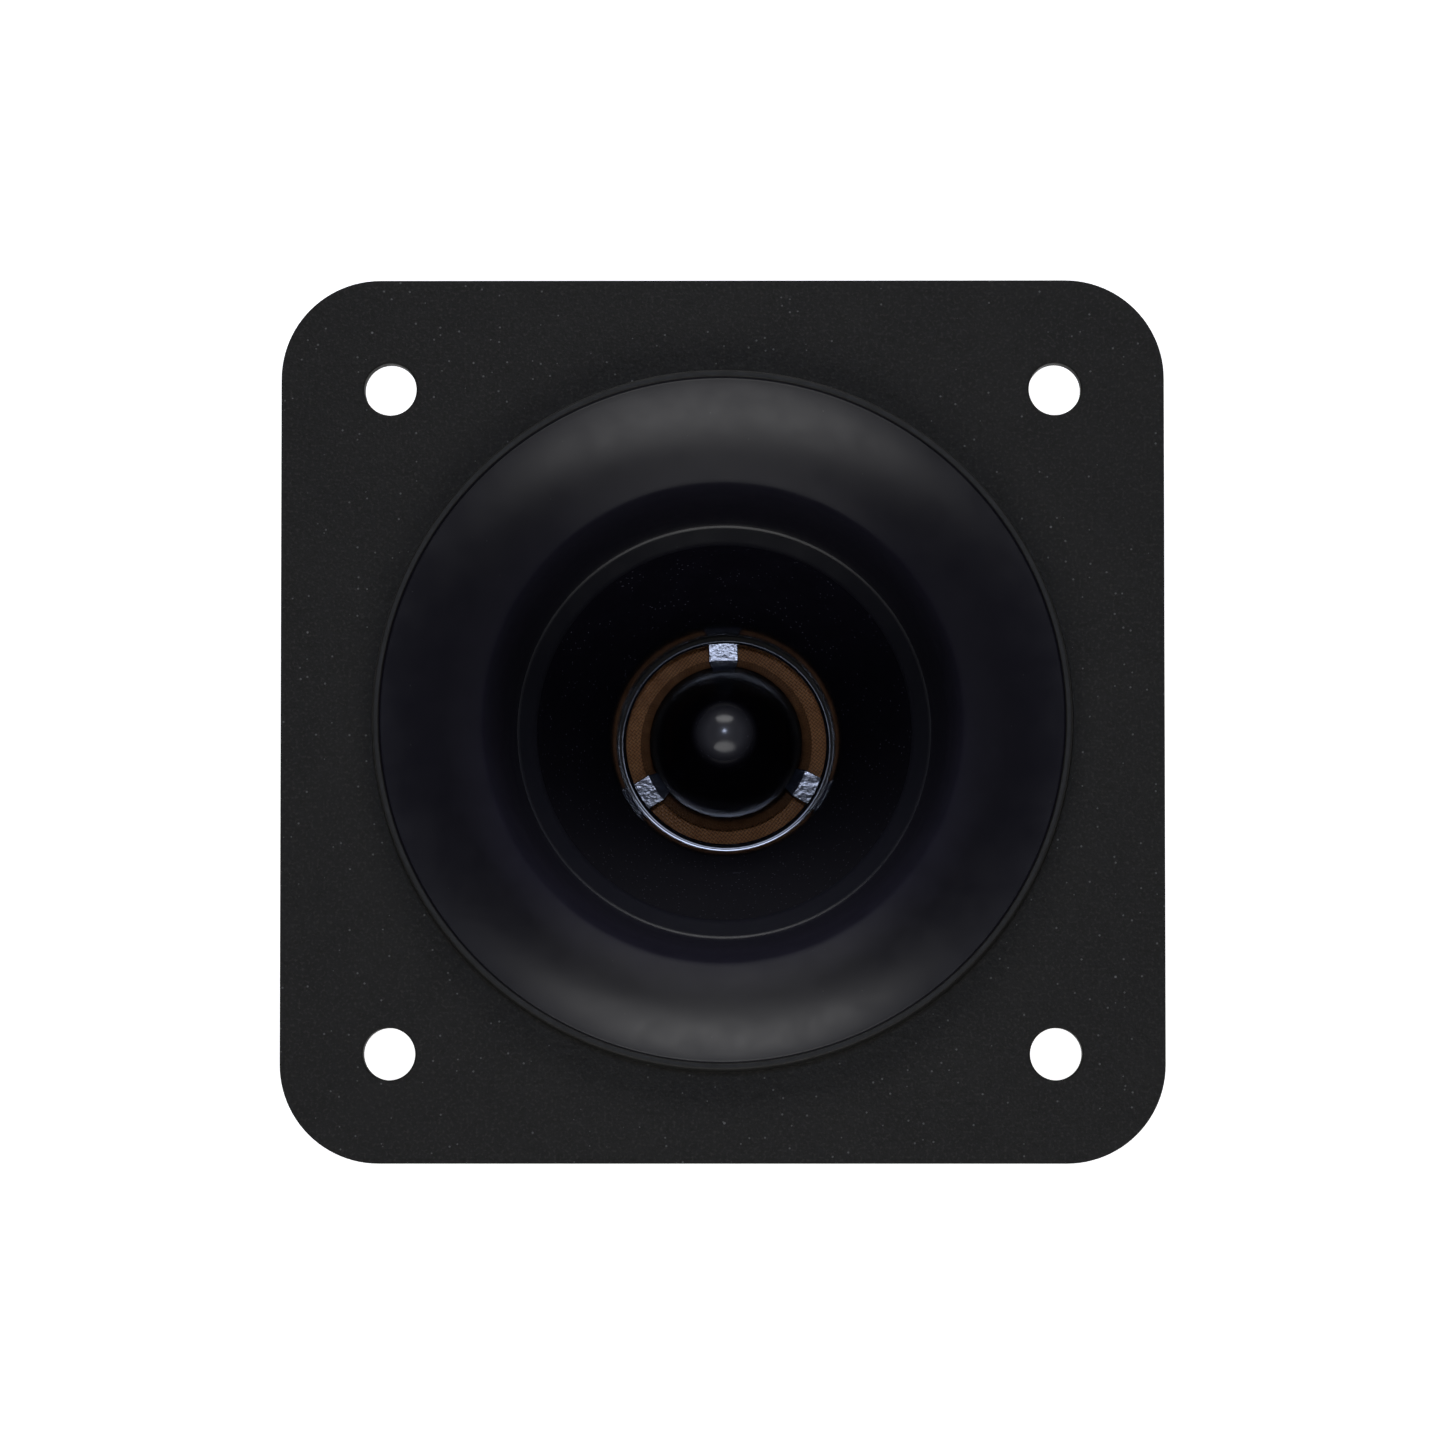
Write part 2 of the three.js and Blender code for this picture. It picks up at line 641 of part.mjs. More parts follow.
const carrier = groupAt(
  0,
  piece("diaphragm_frame", diaphragmFrame(), frameBlack),
  terminalSide("positive", 0, WIDE_TAB),
  terminalSide("negative", Math.PI, NARROW_TAB),
);

const motor = groupAt(
  0,
  piece("yoke", yoke(), zincSteel),
  piece("magnet", magnet(), ferrite),
  piece("front_plate", frontPlate(), zincSteel),
  piece("motor_gasket", motorGasket(), fibre),
  piece("pole_pad", polePad(), felt),
);

const screws = corners(SCREW_AT).map(([x, y], i) => {
  const mesh = piece("motor_screw_" + (i + 1), screw(), blackSteel);
  mesh.position.set(x, y, MAGNET_TOP);
  return mesh;
});

const pins = [1, -1].map((side, i) => {
  const pin = piece("locating_pin_" + (i + 1), ring(0, PIN_R, 0, PIN_LENGTH, SMALL), zincSteel);
  pin.position.set(0, side * PIN_AT, PLATE_TOP - PIN_SUNK);
  return pin;
});

const tweeter = new THREE.Group();
tweeter.name = "car_tweeter";
tweeter.add(horn, movingCoil, suspension, carrier, motor, ...screws, ...pins);

export default tweeter;
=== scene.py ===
import math

import bmesh
import bpy
from mathutils import Matrix, Vector

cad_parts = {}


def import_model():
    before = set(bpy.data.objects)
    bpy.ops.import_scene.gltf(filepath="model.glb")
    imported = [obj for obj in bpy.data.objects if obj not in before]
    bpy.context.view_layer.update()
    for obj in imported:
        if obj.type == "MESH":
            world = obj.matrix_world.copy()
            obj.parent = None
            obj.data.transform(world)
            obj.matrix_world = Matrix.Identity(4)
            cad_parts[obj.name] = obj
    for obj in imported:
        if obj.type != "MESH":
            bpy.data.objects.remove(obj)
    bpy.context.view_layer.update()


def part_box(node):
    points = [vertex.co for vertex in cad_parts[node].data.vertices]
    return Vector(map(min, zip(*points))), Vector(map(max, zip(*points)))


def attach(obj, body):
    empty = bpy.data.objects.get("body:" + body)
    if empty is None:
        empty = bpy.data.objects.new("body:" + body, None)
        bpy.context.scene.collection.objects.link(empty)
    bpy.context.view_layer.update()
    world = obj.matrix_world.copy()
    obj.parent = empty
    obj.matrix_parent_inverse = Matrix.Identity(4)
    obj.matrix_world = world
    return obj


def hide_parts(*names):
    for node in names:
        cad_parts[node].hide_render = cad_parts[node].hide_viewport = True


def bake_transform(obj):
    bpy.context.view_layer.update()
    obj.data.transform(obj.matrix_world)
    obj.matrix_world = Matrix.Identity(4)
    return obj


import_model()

MM = 0.001

# ------------------------------------------------------------------ levels and radii, in mm
LIP_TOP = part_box("horn_flange")[1][2] / MM
RIM_RISE = 3.8
FLANGE_THICK = 2.7
FLANGE_FRONT = LIP_TOP - RIM_RISE
FLANGE_BACK = FLANGE_FRONT - FLANGE_THICK
FLANGE_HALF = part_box("horn_flange")[1][0] / MM
COLLAR_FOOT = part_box("horn_flange")[0][2] / MM
COLLAR_TOP = 29.0
SEAM_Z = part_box("throat_horn")[1][2] / MM
PLUG_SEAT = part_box("throat_horn")[0][2] / MM
STACK_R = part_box("throat_horn")[1][0] / MM
NOSE_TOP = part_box("phase_plug")[1][2] / MM
FRAME_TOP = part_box("diaphragm_frame")[1][2] / MM
FRAME_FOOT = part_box("diaphragm_frame")[0][2] / MM
DOME_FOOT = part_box("diaphragm_dome")[0][2] / MM
SURROUND_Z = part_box("surround")[0][2] / MM
PLATE_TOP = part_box("front_plate")[1][2] / MM
PLATE_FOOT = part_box("front_plate")[0][2] / MM
PLATE_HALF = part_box("front_plate")[1][0] / MM
MAGNET_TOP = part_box("magnet")[1][2] / MM
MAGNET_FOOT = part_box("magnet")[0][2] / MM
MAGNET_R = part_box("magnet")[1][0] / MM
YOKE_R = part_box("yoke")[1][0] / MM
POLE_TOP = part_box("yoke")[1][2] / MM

# flange moulding
LIP_INNER = 32.9
LIP_OUTER = 33.5
LIP_TOE = 33.75
FLARE_START = (32.6, LIP_TOP - 0.65)
FLARE_PULL = (27.9, LIP_TOP - 2.1)
FLARE_KNEE = (23.3, LIP_TOP - 6.2)
KNEE_PULL = (22.0, LIP_TOP - 7.45)
BARREL_TOP = (21.3, 61.0)
BARREL_PULL = (20.75, 56.0)
SEAM_R = 20.5
BORE_R = 22.3
BODY_R = 24.6
BODY_TOP = 62.0
HOLLOW = (31.4, LIP_TOP - 4.2)
FLANGE_CORNER = 9.5
BOLT_AT = 32.0
BOLT_R = 2.5
BOLT_EASE = 0.25
COLLAR_HALF = 27.0
COLLAR_CORNER = 9
GUSSET_FOOT = 46
GUSSET_HALF = 0.9

# phase plug
PLUG_R = 8.8
PLUG_FOOT = 23.85
PLUG_CREASE = (7.7, 30)
CAP_R, CAP_FROM = 4.6, 62.4  # angles in degrees above the horizontal
SHOULDER_R, SHOULDER_FROM = 2.6, 13.4
SLOT_R = 10.2
LEDGE_TOP = 25.0
CROWN_R, CROWN_TOP, CROWN_FALL = 10.95, 25.3, 0.35
LEG_WIDTH = 3.0
LEG_FOOT, LEG_TOP = 23.9, 25.15
LEG_ANGLES = [math.radians(1.8 + a) for a in (90, 210, 330)]

# diaphragm and coil
DOME_R = 12.95
DOME_RISE = 3.0
CLOTH = 0.25
ROLL = (14.65, SURROUND_Z + CLOTH)
ROLL_R = 1.5
SURROUND_R = 18.6
CLAMP_R = (16.5, 18.8)
FORMER_R = (12.6, 12.75)
WINDING_R = (12.8, 13.12)
COIL_TURNS = 22
LEAD_ROUTE = [(13.35, 19.5), (14.1, 20.1), (15.4, 20.6), (19, 20.6), (22.6, 20.6), (24.9, 20.78)]
LEAD_R = 0.28

# frame, terminals and motor
SCREW_AT = 22.0
PIN_AT = 20.0
PIN_R = 1.0
RIVET_AT = 29.0
RIVET_R = 1.1
RIVET_HEAD_R = 2
TAB_HOLE_AT = 35.1
PLATE_CORNER = 8.5
GAP_R = 13.75
POLE_R = 12.1
HEAD_R = 2.8
HEAD_HEIGHT = 1.9
TIP_HEIGHT = 1.9
THREAD_TURNS = 22

FINE = 256  # segments of what the front view shows
COARSE = 128  # segments of the rest
SHARP_ANGLE = 32  # degrees between faces above which an edge stays sharp
LOW_SIDE_Y = (6.0, -17.0)  # the lower side, where dust specks settle and painted light from above pales the throat, sets in between these
GLOW_Z = (74.0, 68.0)  # and the flare's painted bounce light, below the lip, between these heights


# ------------------------------------------------------------------ outlines
def softened(points, steps=4):
    """A closed outline of (x, y, corner radius in mm) with its corners rounded."""
    out = []
    for i, point in enumerate(points):
        here = Vector(point[:2])
        reach = point[2] if len(point) > 2 else 0
        before = Vector(points[i - 1][:2]) - here
        after = Vector(points[(i + 1) % len(points)][:2]) - here
        reach = min(reach, before.length * 0.48, after.length * 0.48)
        if reach <= 0:
            out.append(here)
            continue
        a, b = here + before.normalized() * reach, here + after.normalized() * reach
        for k in range(steps + 1):
            t = k / steps
            out.append((1 - t) ** 2 * a + 2 * t * (1 - t) * here + t * t * b)
    return [tuple(p) for p in out]


def bend(start, pull, end, steps):
    """Points of a quadratic curve, without its first."""
    s, p, e = Vector(start), Vector(pull), Vector(end)
    ts = [(k + 1) / steps for k in range(steps)]
    return [tuple((1 - t) ** 2 * s + 2 * t * (1 - t) * p + t * t * e) for t in ts]


def polar(centre, radius, angle):
    """The point at this distance and angle in degrees from centre."""
    a = math.radians(angle)
    return (centre[0] + radius * math.cos(a), centre[1] + radius * math.sin(a))


def arc(centre, radius, start, end, steps):
    """Points of an arc, angles in degrees."""
    return [polar(centre, radius, start + (end - start) * k / steps) for k in range(steps + 1)]


def rounded_square(half, corner, steps=16):
    c = half - corner
    quarters = [((c, -c), -90), ((c, c), 0), ((-c, c), 90), ((-c, -c), 180)]
    return [p for centre, at in quarters for p in arc(centre, corner, at, at + 90, steps)]


# ------------------------------------------------------------------ solids
def placed(name, data):
    """A new object of this data, in the scene."""
    obj = bpy.data.objects.new(name, data)
    bpy.context.scene.collection.objects.link(obj)
    return obj


def new_object(name, bm):
    bmesh.ops.recalc_face_normals(bm, faces=bm.faces)
    mesh = bpy.data.meshes.new(name)
    bm.to_mesh(mesh)
    bm.free()
    return placed(name, mesh)


def lathe(name, profile, segments=COARSE):
    """A closed profile of (radius, height) in mm, turned round the Z axis."""
    bm = bmesh.new()
    rings = []
    for radius, height in profile:
        count = segments if radius > 1e-6 else 1
        turn = [2 * math.pi * k / count for k in range(count)]
        rings.append([
            bm.verts.new((radius * MM * math.cos(a), radius * MM * math.sin(a), height * MM))
            for a in turn
        ])
    for one, two in zip(rings, rings[1:] + rings[:1]):
        for i in range(segments):
            j = i + 1
            corners = [
                one[i % len(one)], one[j % len(one)], two[j % len(two)], two[i % len(two)],
            ]
            corners = list(dict.fromkeys(corners))
            if len(corners) > 2:
                bm.faces.new(corners)
    return new_object(name, bm)


def ring(name, inner, outer, low, high, edge=0.1):
    """A ring of square section, its edges rounded."""
    corners = [(inner, low, edge), (outer, low, edge), (outer, high, edge), (inner, high, edge)]
    return lathe(name, softened(corners))


def drill(radius, low=10, high=30, segments=48):
    """A cylinder to cut with."""
    return lathe("drill", [(0, low), (radius, low), (radius, high), (0, high)], segments)


def slab(name, outline, low, high, edge=0.0, steps=3):
    """An outline in mm extruded between two heights, with its rims rounded by edge."""
    bm = bmesh.new()
    foot = [bm.verts.new((x * MM, y * MM, low * MM)) for x, y in outline]
    head = [bm.verts.new((x * MM, y * MM, high * MM)) for x, y in outline]
    bm.faces.new(reversed(foot))
    bm.faces.new(head)
    for i in range(len(foot)):
        j = (i + 1) % len(foot)
        bm.faces.new((foot[i], foot[j], head[j], head[i]))
    if edge:
        rims = [e for e in bm.edges if abs(e.verts[0].co.z - e.verts[1].co.z) < 1e-9]
        bmesh.ops.bevel(
            bm, geom=rims, offset=edge * MM, segments=steps, profile=0.5,
            affect="EDGES", clamp_overlap=True,
        )
    return new_object(name, bm)


def block(name, x, y, z, edge=0.0):
    """A box between (low, high) pairs in mm."""
    outline = [(x[0], y[0]), (x[1], y[0]), (x[1], y[1]), (x[0], y[1])]
    return slab(name, outline, z[0], z[1], edge)


def shift(obj, x=0.0, y=0.0, z=0.0, turn=0.0):
    """Turns about Z, then moves in mm, in the mesh itself."""
    place = Matrix.Translation((x * MM, y * MM, z * MM))
    obj.data.transform(place @ Matrix.Rotation(turn, 4, "Z"))
    return obj


def evaluated_mesh(obj):
    graph = bpy.context.evaluated_depsgraph_get()
    return bpy.data.meshes.new_from_object(obj.evaluated_get(graph))


def applied(obj):
    """Replaces the mesh by what its modifiers make of it."""
    mesh = evaluated_mesh(obj)
    obj.modifiers.clear()
    obj.data = mesh
    return obj


def boolean(obj, others, operation):
    for other in others:
        step = obj.modifiers.new(operation, "BOOLEAN")
        step.operation, step.solver, step.object = operation, "EXACT", other
        applied(obj)
        bpy.data.objects.remove(other)
    return obj


def cut(obj, *others):
    return boolean(obj, others, "DIFFERENCE")


def join(obj, *others):
    return boolean(obj, others, "UNION")


def four(make, at):
    """Four of what make gives, on a square."""
    return [shift(make(), x, y) for x in (at, -at) for y in (at, -at)]


# ------------------------------------------------------------------ material nodes
class Nodes:
    """A Principled material with short ways to add noise, bumps and mixes."""

    def __init__(self, name, **sockets):
        self.material = bpy.data.materials.new(name)
        self.material.use_nodes = True
        self.tree = self.material.node_tree
        self.shader = self.tree.nodes["Principled BSDF"]
        for key, value in sockets.items():
            self.shader.inputs[key.replace("_", " ")].default_value = value
        self.where = self.tree.nodes.new("ShaderNodeTexCoord").outputs["Object"]
        self.normal = None

    def add(self, kind, inputs, **settings):
        """A node; an input is a value or the socket that feeds it."""
        node = self.tree.nodes.new(kind)
        for key, value in settings.items():
            setattr(node, key, value)
        for key, value in inputs.items():
            if isinstance(value, bpy.types.NodeSocket):
                self.tree.links.new(value, node.inputs[key])
            else:
                node.inputs[key].default_value = value
        return node

    def link(self, source, socket):
        self.tree.links.new(source, self.shader.inputs[socket])

    def math(self, operation, a, b=0.0):
        return self.add("ShaderNodeMath", {0: a, 1: b}, operation=operation).outputs[0]

    def noise(self, size, detail=3.0, rough=0.55):
        """Noise with features of about this size, in mm."""
        inputs = {"Vector": self.where, "Scale": 1 / (size * MM), "Detail": detail}
        node = self.add("ShaderNodeTexNoise", {**inputs, "Roughness": rough})
        return node.outputs["Fac"]

    def span(self, value, low, high, to_low=0.0, to_high=1.0):
        """Brings low..high to to_low..to_high, and stops there."""
        inputs = {"Value": value, "From Min": low, "From Max": high}
        inputs.update({"To Min": to_low, "To Max": to_high})
        return self.add("ShaderNodeMapRange", inputs).outputs["Result"]

    def blend(self, factor, a, b):
        """A colour between a and b."""
        node = self.add("ShaderNodeMix", {0: factor, 6: a, 7: b}, data_type="RGBA")
        return node.outputs[2]

    def bump(self, height, depth):
        """Adds a bump whose height of 0 to 1 stands for this depth in mm."""
        inputs = {"Height": height, "Distance": depth * MM, "Strength": 1.0}
        if self.normal:
            inputs["Normal"] = self.normal
        self.normal = self.add("ShaderNodeBump", inputs).outputs["Normal"]
        self.link(self.normal, "Normal")

    def cells(self, where, spacing, size, share, channel):
        """1 near the centres of a share of the cells, 0 elsewhere; spacing and size in mm."""
        cells = self.add("ShaderNodeTexVoronoi", {"Vector": where, "Scale": 1 / (spacing * MM)})
        near = self.math("LESS_THAN", cells.outputs["Distance"], size / spacing)
        apart = self.add("ShaderNodeSeparateColor", {"Color": cells.outputs["Color"]})
        chosen = self.math("LESS_THAN", apart.outputs[channel], share)
        return self.math("MULTIPLY", near, chosen)

    def specks(self, spacing, size, share):
        """Sparse round specks."""
        return self.cells(self.where, spacing, size, share, 0)

    def scratches(self, turn, spacing, width, share):
        """Sparse short straight marks lying one way."""
        inputs = {"Vector": self.where, "Rotation": (0, 0, turn), "Scale": (0.12, 1, 0.25)}
        laid = self.add("ShaderNodeMapping", inputs).outputs[0]
        return self.cells(laid, spacing, width, share, 1)

    def along(self, axis):
        """The coordinate along X, Y or Z, in mm."""
        apart = self.add("ShaderNodeSeparateXYZ", {"Vector": self.where})
        return self.math("DIVIDE", apart.outputs[axis], MM)

    def lower_side(self):
        """0 in the upper part of the horn as it hangs on a wall, rising to 1 low down."""
        return self.span(self.along(1), *LOW_SIDE_Y)


def rgb(r, g, b):
    return (r, g, b, 1.0)


def scaled(colour, factor):
    return rgb(*[c * factor for c in colour[:3]])


def grained_black():
    """Spark-textured moulding with faint mottling and a few pale specks."""
    n = Nodes("flange_grain", Roughness=0.6, Specular_IOR_Level=0.32)
    mottle = n.span(n.noise(6.0), 0.3, 0.7)
    colour = n.blend(mottle, rgb(0.0052, 0.0047, 0.0036), rgb(0.0076, 0.0070, 0.0056))
    grains = n.span(n.noise(0.3, 2), 0.52, 0.72)
    colour = n.blend(grains, colour, rgb(0.023, 0.0215, 0.0185))
    colour = n.blend(n.specks(0.8, 0.1, 0.3), colour, rgb(0.09, 0.09, 0.09))
    colour = n.blend(n.specks(3.1, 0.12, 0.3), colour, rgb(0.13, 0.13, 0.13))
    n.link(colour, "Base Color")
    n.link(n.span(n.noise(0.5, 4), 0.3, 0.7, 0.52, 0.68), "Roughness")
    n.bump(n.noise(0.26, 3), 0.065)
    n.bump(n.noise(0.9, 2), 0.045)
    return n.material


def rim_black():
    """The raised rim round the mouth, smoother than the flange's grain."""
    n = Nodes("collar_satin", Roughness=0.5, Specular_IOR_Level=0.32)
    mottle = n.span(n.noise(2.0), 0.3, 0.7)
    n.link(n.blend(mottle, rgb(0.0075, 0.007, 0.006), rgb(0.0115, 0.011, 0.0095)), "Base Color")
    n.link(n.span(n.noise(0.6, 4), 0.3, 0.7, 0.44, 0.56), "Roughness")
    n.bump(n.noise(0.3, 3), 0.006)
    return n.material


def satin_black(name, glow_colour):
    """The same moulding where its tool was polished, cool and smooth. Below the lip its colour
    pales to a painted bounce light, paler still on the lower side as painted light from above."""
    n = Nodes(name, Roughness=0.34)
    mottle = n.span(n.noise(9.0), 0.3, 0.7)
    colour = n.blend(mottle, rgb(0.0040, 0.0036, 0.0082), rgb(0.0054, 0.0049, 0.0102))
    ragged_height = n.math("ADD", n.along(2), n.math("MULTIPLY", n.noise(2.5), 2.0))
    tone_and_glow = n.span(ragged_height, *GLOW_Z)
    # below the lip the colour pales: painted bounce light, paler still on the lower side as
    # painted light from above
    colour = n.blend(tone_and_glow, colour, n.blend(n.lower_side(), glow_colour, scaled(glow_colour, 2.6)))
    colour = n.blend(n.specks(1.2, 0.06, 0.25), colour, rgb(0.05, 0.05, 0.055))
    n.link(colour, "Base Color")
    n.link(n.span(n.noise(3.0, 4), 0.3, 0.7, 0.3, 0.38), "Roughness")
    n.bump(n.noise(0.35, 2), 0.002)
    return n.material


def gloss_black(name, tint, rough, dust_share, lit_below=0.0, haze_and_glow_from=None, spread=0.1):
    """Polished moulding with dust specks and fine handling marks. lit_below is how pale its
    lower side gets, painted light from above, and haze_and_glow_from is the height in mm from
    which it clouds over, rougher and paled by a painted glow."""
    n = Nodes(name, Roughness=rough)
    drift = n.span(n.noise(4.0, 4), 0.4, 0.64)
    low = n.lower_side()
    dust = n.specks(0.55, 0.07, dust_share)
    dust = n.math("MULTIPLY", dust, n.math("MAXIMUM", drift, low))
    marks = n.math("MULTIPLY", n.scratches(0.6, 0.8, 0.045, 0.35), drift)
    sheen = n.span(n.noise(2.0, 4), 0.35, 0.75, rough, rough + spread)
    tone_and_glow = n.blend(drift, tint, scaled(tint, 1.25))
    # the lower side paled towards grey: painted light from above
    if lit_below:
        pale = rgb(lit_below * 0.85, lit_below * 0.82, lit_below)
        tone_and_glow = n.blend(n.math("MULTIPLY", low, low), tone_and_glow, pale)
    # towards the nose top: rougher, and its colour paled as a painted glow
    if haze_and_glow_from:
        haze_and_glow = n.math("POWER", n.span(n.along(2), haze_and_glow_from, haze_and_glow_from + 1.8), 2.0)
        tone_and_glow = n.blend(haze_and_glow, tone_and_glow, rgb(0.038, 0.038, 0.046))
        sheen = n.math("ADD", sheen, n.math("MULTIPLY", haze_and_glow, 0.09))
    colour = n.blend(dust, tone_and_glow, rgb(0.095, 0.095, 0.115))
    n.link(n.blend(marks, colour, rgb(0.07, 0.07, 0.09)), "Base Color")
    n.link(sheen, "Roughness")
    n.bump(n.noise(1.4, 2), 0.0015)
    return n.material


def leg_top_painted_reflection():
    """The flat, slightly uneven faces on top of the plug's legs, the plug's plastic with a pale
    bluish patchy colour that is a painted reflection of the lamp beside the camera.
    """
    n = Nodes("leg_face", Roughness=0.12)
    # pale bluish patches: painted reflection of the lamp beside the camera
    reflection_patch = n.span(n.noise(0.5, 6, 0.7), 0.36, 0.62)
    n.link(n.blend(reflection_patch, rgb(0.018, 0.022, 0.04), rgb(0.045, 0.055, 0.09)), "Base Color")
    n.link(n.span(n.noise(0.4, 4), 0.3, 0.7, 0.05, 0.14), "Roughness")
    n.bump(n.noise(0.6, 4, 0.6), 0.019)
    return n.material


def woven_cloth(pitch=0.29, turn=38):
    """Fine plain weave, soaked in amber resin; pitch in mm, turn in degrees."""
    n = Nodes("phenolic_cloth", Roughness=0.45)
    rotation = (0, 0, math.radians(turn))
    turned = n.add("ShaderNodeMapping", {"Vector": n.where, "Rotation": rotation})
    apart = n.add("ShaderNodeSeparateXYZ", {"Vector": turned.outputs[0]})
    waves = [
        n.math("SINE", n.math("MULTIPLY", apart.outputs[k], math.pi / (pitch * MM)))
        for k in (0, 1)
    ]
    over = n.math("GREATER_THAN", n.math("MULTIPLY", *waves), 0.0)
    humps = [n.math("ABSOLUTE", w) for w in waves]
    warp = n.math("MULTIPLY", humps[0], over)
    weft = n.math("MULTIPLY", humps[1], n.math("SUBTRACT", 1.0, over))
    height = n.math("ADD", warp, weft)
    uneven = n.span(n.noise(1.6, 3), 0.3, 0.7)
    thread = n.blend(uneven, rgb(0.57, 0.245, 0.085), rgb(0.80, 0.37, 0.145))
    n.link(n.blend(n.span(height, 0.1, 0.75), rgb(0.16, 0.055, 0.02), thread), "Base Color")
    n.bump(height, 0.07)
    return n.material


def plated_steel(name, colour, rough):
    n = Nodes(name, Metallic=1.0, Roughness=rough)
    stain = n.span(n.noise(7.0, 5), 0.35, 0.7)
    n.link(n.blend(stain, colour, scaled(colour, 0.72)), "Base Color")
    n.link(n.span(n.noise(1.2, 5), 0.3, 0.75, rough - 0.06, rough + 0.16), "Roughness")
    n.bump(n.noise(0.25, 4), 0.006)
    return n.material


def ground_ferrite():
    n = Nodes("ferrite", Roughness=0.62)
    mottle = n.span(n.noise(3.0, 5), 0.3, 0.7)
    n.link(n.blend(mottle, rgb(0.014, 0.014, 0.016), rgb(0.03, 0.03, 0.033)), "Base Color")
    n.link(n.span(n.noise(0.8, 4), 0.3, 0.7, 0.45, 0.75), "Roughness")
    n.bump(n.noise(0.3, 5), 0.05)
    return n.material


def plain(name, light, dark, rough, grain, depth, metallic=0.0):
    """A mottled, slightly bumpy surface between two colours; grain and depth in mm."""
    n = Nodes(name, Metallic=metallic, Roughness=rough)
    n.link(n.blend(n.span(n.noise(2.5, 4), 0.3, 0.7), dark, light), "Base Color")
    smooth = max(rough - 0.08, 0.05)
    n.link(n.span(n.noise(grain * 2, 3), 0.3, 0.7, smooth, rough + 0.08), "Roughness")
    n.bump(n.noise(grain, 3), depth)
    return n.material


GRAIN = grained_black()
# each satin's second colour is the painted bounce light that pales it below the lip
SATIN = satin_black("flare_satin", rgb(0.0145, 0.0135, 0.022))
RIM = rim_black()
# its lower side paled by painted light from above
THROAT = gloss_black("throat_gloss", rgb(0.006, 0.0055, 0.0095), 0.16, 0.8, lit_below=0.038)
STEP = satin_black("step_satin", rgb(0.0075, 0.0075, 0.011))
# its nose top paled by a painted glow
PLUG = gloss_black("plug_gloss", rgb(0.0028, 0.0026, 0.005), 0.07, 0.25, haze_and_glow_from=NOSE_TOP - 2.1)
LEDGE = gloss_black("ring_gloss", rgb(0.0035, 0.0033, 0.006), 0.05, 0.25, spread=0.03)
LEG_FACE = leg_top_painted_reflection()
WEAVE = woven_cloth()
STEEL = plated_steel("zinc_plate", rgb(0.62, 0.64, 0.66), 0.34)
BLACK_STEEL = plain(
    "black_oxide", rgb(0.03, 0.03, 0.032), rgb(0.012, 0.012, 0.013), 0.36, 0.3, 0.004, 0.8,
)
TIN = plated_steel("tinned_brass", rgb(0.78, 0.75, 0.66), 0.26)
FERRITE = ground_ferrite()
FRAME_PLASTIC = plain(
    "frame_plastic", rgb(0.02, 0.02, 0.022), rgb(0.012, 0.012, 0.013), 0.45, 0.3, 0.008,
)
FIBRE = plain("pressed_fibre", rgb(0.13, 0.09, 0.06), rgb(0.07, 0.05, 0.035), 0.85, 0.25, 0.05)
FELT = plain("felt", rgb(0.16, 0.155, 0.15), rgb(0.09, 0.088, 0.085), 0.95, 0.18, 0.15)
AMBER = plain("amber_film", rgb(0.5, 0.2, 0.03), rgb(0.36, 0.13, 0.02), 0.25, 0.8, 0.002)
COPPER = plain(
    "enamelled_copper", rgb(0.85, 0.36, 0.16), rgb(0.6, 0.22, 0.09), 0.26, 0.3, 0.003, 1.0,
)
GLUE = plain("glue", rgb(0.05, 0.04, 0.035), rgb(0.025, 0.02, 0.018), 0.2, 1.2, 0.05)
SOLDER = plain("solder", rgb(0.62, 0.62, 0.64), rgb(0.42, 0.42, 0.45), 0.25, 0.5, 0.02, 1.0)
RED = plain("red_paint", rgb(0.55, 0.02, 0.012), rgb(0.42, 0.012, 0.008), 0.35, 0.3, 0.01)


def finished(obj, body, slot, nodes, *materials, pick=None):
    """Smooths, paints and binds a piece. pick chooses a face's material from its centre in mm
    and its normal. A piece given no body is bound to none."""
    for material in materials:
        obj.data.materials.append(material)
    for face in obj.data.polygons:
        face.material_index = pick(face.center / MM, face.normal) if pick else 0
    obj.data.shade_smooth()
    obj.data.set_sharp_from_angle(angle=math.radians(SHARP_ANGLE))
    if body:
        weigh = obj.modifiers.new("weigh", "WEIGHTED_NORMAL")
        weigh.keep_sharp, weigh.weight = True, 80
        applied(obj)
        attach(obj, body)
    if nodes:
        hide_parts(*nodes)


# ------------------------------------------------------------------ flange moulding
def moulding_profile():
    lip = softened([
        (LIP_TOE, FLANGE_FRONT - 1.0),
        (LIP_TOE, FLANGE_FRONT, 0.05),
        (LIP_OUTER, LIP_TOP, 0.17),
        (LIP_INNER, LIP_TOP, 0.14),
        (LIP_INNER - 0.12, FLARE_START[1] + 0.05, 0.12),
        FLARE_START,
    ])
    seam = SEAM_Z + 0.05
    flare = bend(FLARE_START, FLARE_PULL, FLARE_KNEE, 28)
    flare += bend(FLARE_KNEE, KNEE_PULL, BARREL_TOP, 16)
    flare += bend(BARREL_TOP, BARREL_PULL, (SEAM_R, seam), 8)[1:]
    bore = softened([(BORE_R, seam), (BORE_R, COLLAR_FOOT), (BODY_R, COLLAR_FOOT)])
    start = (BODY_R, BODY_TOP)
    back = bend(start, (BODY_R + 0.6, BODY_TOP + 7.5), HOLLOW, 14)
    back += softened([(HOLLOW[0] + 0.25, FLANGE_BACK, 0.3), (LIP_TOE, FLANGE_BACK)])[1:-1]
    return lip[1:] + flare + bore + [start] + back + [(LIP_TOE, FLANGE_BACK)]


